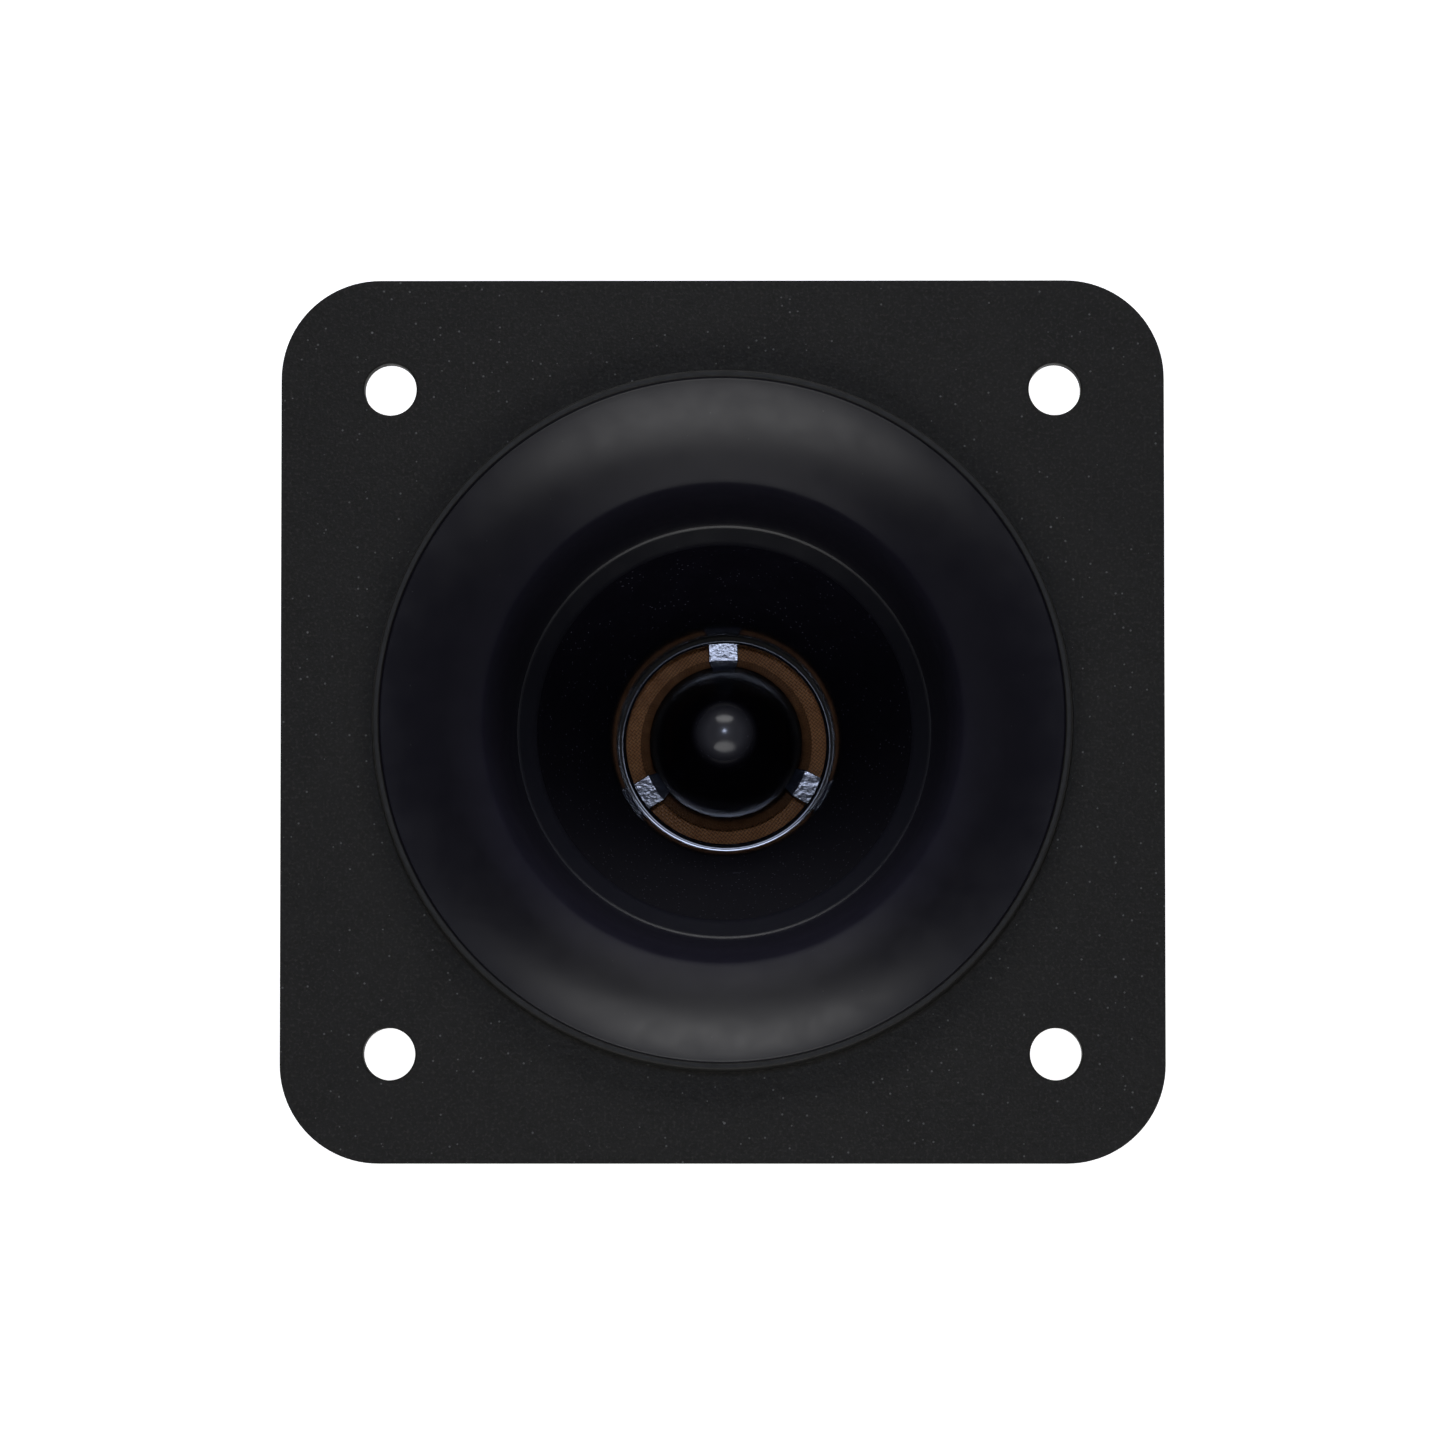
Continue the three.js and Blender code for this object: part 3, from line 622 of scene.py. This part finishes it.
def bolt_cutter():
    """A hole for a fixing screw, eased at both faces."""
    wide = BOLT_R + BOLT_EASE
    ease_from = (BOLT_R, FLANGE_FRONT - BOLT_EASE)
    profile = [
        (0, FLANGE_BACK - 1), (BOLT_R + 0.2, FLANGE_BACK - 1), (BOLT_R + 0.2, FLANGE_BACK),
        (BOLT_R, FLANGE_BACK + 0.2), ease_from,
    ]
    profile += bend(ease_from, (BOLT_R, FLANGE_FRONT), (wide, FLANGE_FRONT), 4)
    profile += [(wide, FLANGE_FRONT + 1), (0, FLANGE_FRONT + 1)]
    return lathe("bolt_cutter", profile, 64)


def gusset(angle):
    """A web between the barrel and the back of the flange."""
    inner = BODY_R - 0.8
    sunk = FLANGE_BACK + 0.5
    web = [(inner, GUSSET_FOOT), (BODY_R, GUSSET_FOOT), (34, sunk), (32, sunk)]
    web += [(HOLLOW[0] - 0.8, HOLLOW[1] + 0.7), (inner, BODY_TOP + 6)]
    obj = slab("gusset", web, -GUSSET_HALF, GUSSET_HALF, 0.2)
    obj.data.transform(Matrix.Rotation(angle, 4, "Z") @ Matrix.Rotation(math.pi / 2, 4, "X"))
    return obj


def flange_moulding():
    obj = lathe("flange_moulding", moulding_profile(), FINE)
    square = rounded_square(FLANGE_HALF, FLANGE_CORNER, 24)
    plate = slab("plate", square, FLANGE_BACK, FLANGE_FRONT, 0.55, 5)
    cut(plate, drill(LIP_TOE - 0.4, 60, 80, FINE))
    square = rounded_square(COLLAR_HALF, COLLAR_CORNER)
    collar = slab("collar", square, COLLAR_FOOT, COLLAR_TOP, 0.6)
    cut(collar, drill(BORE_R + 0.6, 10, 40, FINE))
    join(obj, plate, collar, *[gusset(math.radians(a)) for a in (45, 135, 225, 315)])
    cut(obj, *four(bolt_cutter, BOLT_AT))
    cut(obj, *four(lambda: drill(1.55, 10, 27.5, 24), SCREW_AT))
    cut(obj, block("slot", (-60, 60), (-4.5, 4.5), (18, 23.4)))

    def pick(centre, normal):
        if centre.z < SEAM_Z or normal.z < -0.05:
            return 0
        inward = normal.xy.dot(centre.xy) < -0.1 * centre.xy.length
        if inward and centre.xy.length < LIP_INNER - 0.05:
            return 1
        return 2 if centre.z > FLANGE_FRONT + 0.05 else 0

    finished(
        obj, "tweeter", "flange_plastic", ["horn_flange"], GRAIN, SATIN, RIM, pick=pick,
    )


flange_moulding()


# ------------------------------------------------------------------ throat insert
def throat_insert():
    """The cone below the seam, with a chamfered step and a fine bead at its edge."""
    shoulder = (18.5, SEAM_Z - 1.75)
    step = bend(shoulder, (18.72, SEAM_Z - 1.42), (19.0, SEAM_Z - 1.2), 6)
    bead = (SEAM_R - 0.03, SEAM_Z - 0.1)
    step += bend((20.12, SEAM_Z - 0.28), (20.28, SEAM_Z - 0.14), bead, 8)
    outside = [
        (SEAM_R, SEAM_Z), (STACK_R, SEAM_Z, 0.1), (STACK_R, PLUG_SEAT, 0.1),
        (20.3, PLUG_SEAT), (20.3, SEAM_Z - 2.75), (13.4, 34.6), (13.2, PLUG_SEAT),
    ]
    foot = (11.0, PLUG_SEAT)
    wall = [foot] + bend(foot, (11.02, 31.5), (11.9, 35.1), 14)
    obj = lathe("throat_insert", wall + step + softened(outside), FINE)
    step_r = shoulder[0] + 0.05

    def pick(centre, normal):
        return 1 if centre.xy.length > step_r and normal.z > 0.2 else 0

    finished(obj, "tweeter", "horn_plastic", ["throat_horn"], THROAT, STEP, pick=pick)


throat_insert()


# ------------------------------------------------------------------ phase plug
def dome_height(radius):
    """Height of the dome's curve above its rim."""
    sphere = (DOME_R ** 2 + DOME_RISE ** 2) / (2 * DOME_RISE)
    return math.sqrt(sphere ** 2 - radius ** 2) - (sphere - DOME_RISE)


UNDERSIDE = PLUG_FOOT - dome_height(PLUG_R)  # raises the dome's curve to the plug's underside


def plug_bullet():
    """A cone with a crease, a tight shoulder and a broad cap."""
    under = [(r, UNDERSIDE + dome_height(r)) for r in (0, 2, 4, 6, 7.5)]
    cap_centre = (0, NOSE_TOP - CAP_R)
    shoulder_centre = polar(cap_centre, CAP_R - SHOULDER_R, CAP_FROM)
    cap = arc(cap_centre, CAP_R, CAP_FROM, 90, 20)
    shoulder = arc(shoulder_centre, SHOULDER_R, SHOULDER_FROM, CAP_FROM, 20)
    side = softened([
        (PLUG_R - 1, PLUG_FOOT), (PLUG_R, PLUG_FOOT, 0.2), (*PLUG_CREASE, 0.5),
        shoulder[0], (0, shoulder[0][1]),
    ], 8)
    nose = shoulder[1:] + cap[1:-1] + [(0, NOSE_TOP)]
    return lathe("phase_plug_body", under + side[1:-1] + nose, FINE)


def plug_ring():
    """The clamped ring, its top a ledge with a low crown beside the slot."""
    foot = UNDERSIDE + dome_height(SLOT_R)
    seat = FRAME_TOP + 0.05
    outline = [
        (SLOT_R, foot, 0.1), (12.6, foot - 0.8), (13, 23.6), (16.3, 23.6), (16.3, 22.25),
        (19, 22.25), (19, seat), (STACK_R, seat, 0.15), (STACK_R, LEDGE_TOP, 0.1),
        (CROWN_R + 0.02, LEDGE_TOP),
    ]
    inward = [(CROWN_R - SLOT_R) * k / 14 for k in range(14)]
    crown = [(CROWN_R - r, CROWN_TOP - CROWN_FALL * r ** 2) for r in inward]
    return lathe("plug_ring", softened(outline) + crown, FINE)


def plug_leg(angle):
    half = LEG_WIDTH / 2
    leg = block("leg", (PLUG_R - 0.7, SLOT_R + 0.4), (-half, half), (LEG_FOOT, LEG_TOP), 0.08)
    return shift(leg, turn=angle)


def phase_plug():
    obj = join(plug_bullet(), plug_ring(), *[plug_leg(a) for a in LEG_ANGLES])

    def pick(centre, normal):
        if centre.z < LEDGE_TOP + 0.1 or normal.z < 0.3:
            return 0
        if PLUG_R - 0.9 < centre.xy.length < SLOT_R and normal.z > 0.9:
            return 1
        return 2 if centre.xy.length > SLOT_R else 0

    finished(
        obj, "tweeter", "plug_plastic", ["phase_plug"], PLUG, LEG_FACE, LEDGE, pick=pick,
    )


phase_plug()


# ------------------------------------------------------------------ diaphragm and coil
def dome():
    radii = [DOME_R * k / 24 for k in range(25)]
    outer = [(r, DOME_FOOT + CLOTH + dome_height(r)) for r in radii]
    inner = [(r, DOME_FOOT + dome_height(r)) for r in radii]
    obj = lathe("dome_cloth", outer + inner[::-1], FINE)
    finished(obj, "moving_coil", "phenolic_cloth", ["diaphragm_dome"], WEAVE)


def surround():
    """The roll is parted at its crown: the inner half, between coil and frame, is bound to no
    body.
    """
    inner = arc(ROLL, ROLL_R, 180, 90, 12) + arc(ROLL, ROLL_R - CLOTH, 90, 180, 12)
    inner = lathe("surround_inner_half", inner)
    finished(inner, None, "phenolic_cloth", ["surround"], WEAVE)
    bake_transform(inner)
    rim = softened([
        (16.4, ROLL[1] + 0.02), (SURROUND_R, ROLL[1], 0.08), (SURROUND_R, SURROUND_Z, 0.08),
        (16.0, SURROUND_Z),
    ])
    outer = arc(ROLL, ROLL_R, 90, 0, 12) + rim + arc(ROLL, ROLL_R - CLOTH, 0, 90, 12)
    outer = lathe("surround_outer_half", outer)
    finished(outer, "tweeter", "phenolic_cloth", [], WEAVE)


def coil():
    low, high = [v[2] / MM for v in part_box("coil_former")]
    obj = ring("former_film", *FORMER_R, low, high, 0.02)
    finished(obj, "moving_coil", "former_film", ["coil_former"], AMBER)

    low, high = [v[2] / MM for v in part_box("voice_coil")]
    inner, outer = WINDING_R
    pitch = (high - low) / COIL_TURNS
    wires = [(outer, low + pitch * (k + 0.5)) for k in range(COIL_TURNS)]
    humps = [p for wire in wires for p in arc(wire, pitch / 2, -80, 80, 5)]
    obj = lathe("coil_winding", [(inner, low)] + humps + [(inner, high)])
    finished(obj, "moving_coil", "copper_wire", ["voice_coil"], COPPER)


def lead(sign, turn):
    """A flexible wire from the winding to a terminal's tail."""
    curve = bpy.data.curves.new("lead", "CURVE")
    curve.dimensions, curve.bevel_depth, curve.bevel_resolution = "3D", LEAD_R * MM, 3
    curve.resolution_u, curve.use_fill_caps = 8, True
    spline = curve.splines.new("NURBS")
    spline.points.add(len(LEAD_ROUTE) - 1)
    spline.use_endpoint_u, spline.order_u = True, 3
    for point, (x, z) in zip(spline.points, LEAD_ROUTE):
        point.co = (x * MM, 0, z * MM, 1)
    guide = placed("guide", curve)
    mesh = evaluated_mesh(guide)
    bpy.data.objects.remove(guide)
    obj = shift(placed("lead_" + sign, mesh), turn=turn)
    finished(obj, None, "copper_wire", ["lead_wire_" + sign], COPPER)
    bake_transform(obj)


dome()
surround()
coil()
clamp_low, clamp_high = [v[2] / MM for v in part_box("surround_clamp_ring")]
clamp = ring("clamp_ring", *CLAMP_R, clamp_low, clamp_high)
finished(clamp, "tweeter", "fibre_board", ["surround_clamp_ring"], FIBRE)


# ------------------------------------------------------------------ frame and terminals
def diaphragm_carrier():
    obj = ring("diaphragm_carrier", 14.6, STACK_R, FRAME_FOOT, FRAME_TOP, 0.15)
    ears = block("ears", (-31, 31), (-4.2, 4.2), (COLLAR_FOOT, FRAME_TOP), 0.25)
    cut(ears, drill(21.1, segments=COARSE))
    join(obj, ears)
    cut(obj, block("groove", (-25.4, 25.4), (-0.8, 0.8), (FRAME_TOP - 1, FRAME_TOP + 1)))
    for x in (-RIVET_AT, RIVET_AT):
        cut(obj, shift(drill(RIVET_R + 0.1), x=x))
    for y in (-PIN_AT, PIN_AT):
        cut(obj, shift(drill(PIN_R + 0.1), y=y))
    finished(obj, "tweeter", "frame_plastic", ["diaphragm_frame"], FRAME_PLASTIC)


def terminal(sign, turn, tab_width):
    """A blade with its rivet, its solder joint and the lead that ends there."""
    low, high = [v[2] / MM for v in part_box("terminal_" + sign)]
    tail, base, tab = 1.1, 2.75, tab_width / 2
    half = [
        (23.4, tail), (27.2, tail), (27.2, base), (31.4, base), (31.4, tab), (37.7, tab),
        (38.5, tab - 0.8),
    ]
    outline = half + [(x, -y) for x, y in reversed(half)]
    obj = slab("blade_" + sign, outline, low, high, 0.12)
    cut(obj, shift(drill(RIVET_R + 0.1, 0, 40), x=RIVET_AT))
    cut(obj, shift(drill(0.7, 0, 40), x=TAB_HOLE_AT))
    finished(shift(obj, turn=turn), "tweeter", "tinned_brass", ["terminal_" + sign], TIN)

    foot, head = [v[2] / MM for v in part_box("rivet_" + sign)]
    outline = softened([
        (0.6, foot, 0.15), (1.55, foot, 0.3), (RIVET_HEAD_R, foot + 0.5, 0.12),
        (RIVET_R, foot + 0.5), (RIVET_R, head - 0.5), (RIVET_HEAD_R, head - 0.5, 0.12),
        (1.55, head, 0.3), (0.6, head, 0.15),
    ])
    obj = shift(lathe("hollow_rivet_" + sign, outline, 64), x=RIVET_AT)
    finished(shift(obj, turn=turn), "tweeter", "tinned_brass", ["rivet_" + sign], TIN)

    edge = (0.95, high - 0.02)
    blob = [(0, high - 0.02), edge] + bend(edge, (0.9, high + 0.42), (0, high + 0.5), 8)
    obj = shift(lathe("solder_" + sign, blob, 40), x=LEAD_ROUTE[-1][0])
    finished(shift(obj, turn=turn), "tweeter", "tinned_brass", [], SOLDER)
    lead(sign, turn)


diaphragm_carrier()
terminal("positive", 0.0, 4.8)
terminal("negative", math.pi, 2.8)


# ------------------------------------------------------------------ motor
def motor():
    under_magnet = MAGNET_FOOT - 0.05
    outline = softened([
        (0, 0), (YOKE_R, 0, 1.1), (YOKE_R, under_magnet, 0.25), (POLE_R + 0.6, under_magnet),
        (POLE_R, 5.6), (POLE_R, POLE_TOP, 0.5), (0, POLE_TOP),
    ])
    finished(lathe("steel_yoke", outline), "tweeter", "zinc_steel", ["yoke"], STEEL)
    obj = ring("ring_magnet", 16, MAGNET_R, MAGNET_FOOT, MAGNET_TOP, 0.8)
    finished(obj, "tweeter", "ferrite", ["magnet"], FERRITE)

    square = rounded_square(PLATE_HALF, PLATE_CORNER)
    obj = slab("steel_front_plate", square, PLATE_FOOT, PLATE_TOP, 0.35)
    cut(obj, drill(GAP_R, segments=COARSE))
    cut(obj, *four(lambda: drill(1.75), SCREW_AT))
    finished(obj, "tweeter", "zinc_steel", ["front_plate"], STEEL)

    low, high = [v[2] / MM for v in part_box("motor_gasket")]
    obj = slab("fibre_gasket", square, low, high, 0.05, 2)
    cut(obj, drill(BORE_R, segments=COARSE))
    cut(obj, *four(lambda: drill(1.9), SCREW_AT))
    finished(obj, "tweeter", "fibre_board", ["motor_gasket"], FIBRE)

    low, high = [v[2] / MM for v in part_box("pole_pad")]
    obj = lathe("felt_pad", softened([(0, low), (9, low, 0.1), (9, high, 0.3), (0, high)]))
    finished(obj, "tweeter", "felt", ["pole_pad"], FELT)


def screw(index, x, y):
    """A pan-head screw that points up, its thread drawn as plain grooves."""
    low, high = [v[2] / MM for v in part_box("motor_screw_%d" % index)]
    seat = low + HEAD_HEIGHT
    thread_from, thread_to = seat + 0.4, high - TIP_HEIGHT
    thread = []
    for k in range(THREAD_TURNS):
        z = thread_from + (thread_to - thread_from) * k / THREAD_TURNS
        thread += [(1.22, z), (1.45, z + 0.14), (1.22, z + 0.28)]
    outline = [(0, low)] + bend((0, low), (2.4, low), (HEAD_R, seat - 0.5), 8)
    outline += [(HEAD_R, seat - 0.15), (HEAD_R - 0.08, seat), (1.3, seat)]
    outline += thread + [(0.4, high - 0.2), (0, high)]
    obj = lathe("pan_screw_%d" % index, outline, 48)
    for turn in (0.0, math.pi / 2):
        bar = block("recess", (-1.5, 1.5), (-0.3, 0.3), (low - 1, low + 1.0))
        cut(obj, shift(bar, turn=turn + 0.35 + index))
    shift(obj, x, y)
    finished(obj, "tweeter", "black_steel", ["motor_screw_%d" % index], BLACK_STEEL)


def locating_pin(index, y):
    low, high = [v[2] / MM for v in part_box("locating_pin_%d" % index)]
    outline = softened([(0, low), (PIN_R, low, 0.25), (PIN_R, high, 0.25), (0, high)])
    obj = shift(lathe("dowel_%d" % index, outline, 48), y=y)
    finished(obj, "tweeter", "zinc_steel", ["locating_pin_%d" % index], STEEL)


motor()
for index, (sx, sy) in enumerate([(1, 1), (-1, 1), (-1, -1), (1, -1)], 1):
    screw(index, SCREW_AT * sx, SCREW_AT * sy)
locating_pin(1, PIN_AT)
locating_pin(2, -PIN_AT)


def glue_bead(name, radius, height, size):
    """A squeezed-out bead of glue, its size wandering round the joint."""
    obj = lathe(name, arc((radius, height), size, 0, 360, 10)[:-1])
    for v in obj.data.vertices:
        angle = math.atan2(v.co.y, v.co.x)
        swell = 0.72 + 0.2 * math.sin(5 * angle + 1.3) + 0.12 * math.sin(13 * angle)
        middle = Vector((math.cos(angle) * radius, math.sin(angle) * radius, height)) * MM
        v.co = middle + (v.co - middle) * swell
    finished(obj, "tweeter", "fibre_board", [], GLUE)


def polarity_dot():
    """A drop of paint on the collar beside the positive terminal."""
    outline = [(0, 0), (0.9, 0)] + bend((0.9, 0), (0.85, 0.1), (0, 0.12), 4)
    obj = shift(lathe("polarity_dot", outline, 32), x=23.8, y=7.2, z=COLLAR_TOP - 0.02)
    finished(obj, "tweeter", "flange_plastic", [], RED)


glue_bead("glue_yoke", YOKE_R + 0.1, MAGNET_FOOT - 0.15, 0.42)
polarity_dot()


# ------------------------------------------------------------------ studio
FLOOR_HALF = 3000  # mm
SIGHT = FLANGE_FRONT * MM  # the level that camera and lights point at
CAMERA_DISTANCE = 0.73
CAMERA_SIDE, CAMERA_DROP = 0.45, 2.84  # degrees right of and below the horn's axis
WHITE = (1, 1, 1)
LIGHTS = [  # name, place and size in metres, radiance, colour
    ("softbox_top", (0, 0.2, 0.287), (0.22, 0.13), 2.8, WHITE),
    ("softbox_bottom", (0, -0.187, 0.296), (0.28, 0.19), 2.0, WHITE),
    ("wall_top", (0, 0.3, 0.125), (0.5, 0.1), 0.9, WHITE),
    ("wall_bottom", (0, -0.3, 0.125), (0.5, 0.1), 0.75, WHITE),
    ("wall_left", (-0.3, 0, 0.15), (0.5, 0.16), 0.045, WHITE),
    ("wall_right", (0.3, 0, 0.15), (0.5, 0.16), 0.045, WHITE),
    ("camera_side", (0, 0.112, 1.0), (0.11, 0.09), 40.0, (0.64, 0.73, 1.0)),
    ("room_behind", (0, 0, 1.6), (1.2, 1.2), 0.1, WHITE),
]


def stage():
    half = FLOOR_HALF
    floor = slab("floor", [(-half, -half), (half, -half), (half, half), (-half, half)], -1, 0)
    n = Nodes("floor", Roughness=0.9, Emission_Strength=0.85)
    n.shader.inputs["Base Color"].default_value = rgb(0.9, 0.9, 0.9)
    n.shader.inputs["Emission Color"].default_value = rgb(1, 1, 1)
    floor.data.materials.append(n.material)


def softbox(name, at, size, radiance, colour):
    """An elliptical light that faces the flange."""
    data = bpy.data.lights.new(name, "AREA")
    data.shape, data.size, data.size_y = "ELLIPSE", size[0], size[1]
    data.energy = radiance * size[0] * size[1] * math.pi ** 2 / 4
    data.color = colour
    obj = placed(name, data)
    obj.location = at
    obj.rotation_mode = "QUATERNION"
    obj.rotation_quaternion = (Vector((0, 0, SIGHT)) - Vector(at)).to_track_quat("-Z", "Y")


def camera():
    data = bpy.data.cameras.new("camera")
    data.sensor_width, data.lens = 36.0, 189.2
    data.clip_start, data.clip_end = 0.01, 20
    obj = placed("camera", data)
    side, drop = math.radians(CAMERA_SIDE), math.radians(CAMERA_DROP)
    back = Vector((math.sin(side), -math.sin(drop), math.cos(drop))).normalized()
    obj.location = Vector((0.0, -0.00015, SIGHT)) + back * CAMERA_DISTANCE
    right = Vector((0, 1, 0)).cross(back).normalized()
    up = back.cross(right)
    obj.rotation_mode = "QUATERNION"
    obj.rotation_quaternion = Matrix((right, up, back)).transposed().to_quaternion()
    bpy.context.scene.camera = obj


def world():
    data = bpy.data.worlds.new("world")
    data.use_nodes = True
    background = data.node_tree.nodes["Background"]
    background.inputs["Color"].default_value = rgb(1, 1, 1)
    background.inputs["Strength"].default_value = 0.045
    bpy.context.scene.world = data
    bpy.context.scene.view_settings.view_transform = "Standard"


stage()
camera()
for light in LIGHTS:
    softbox(*light)
world()
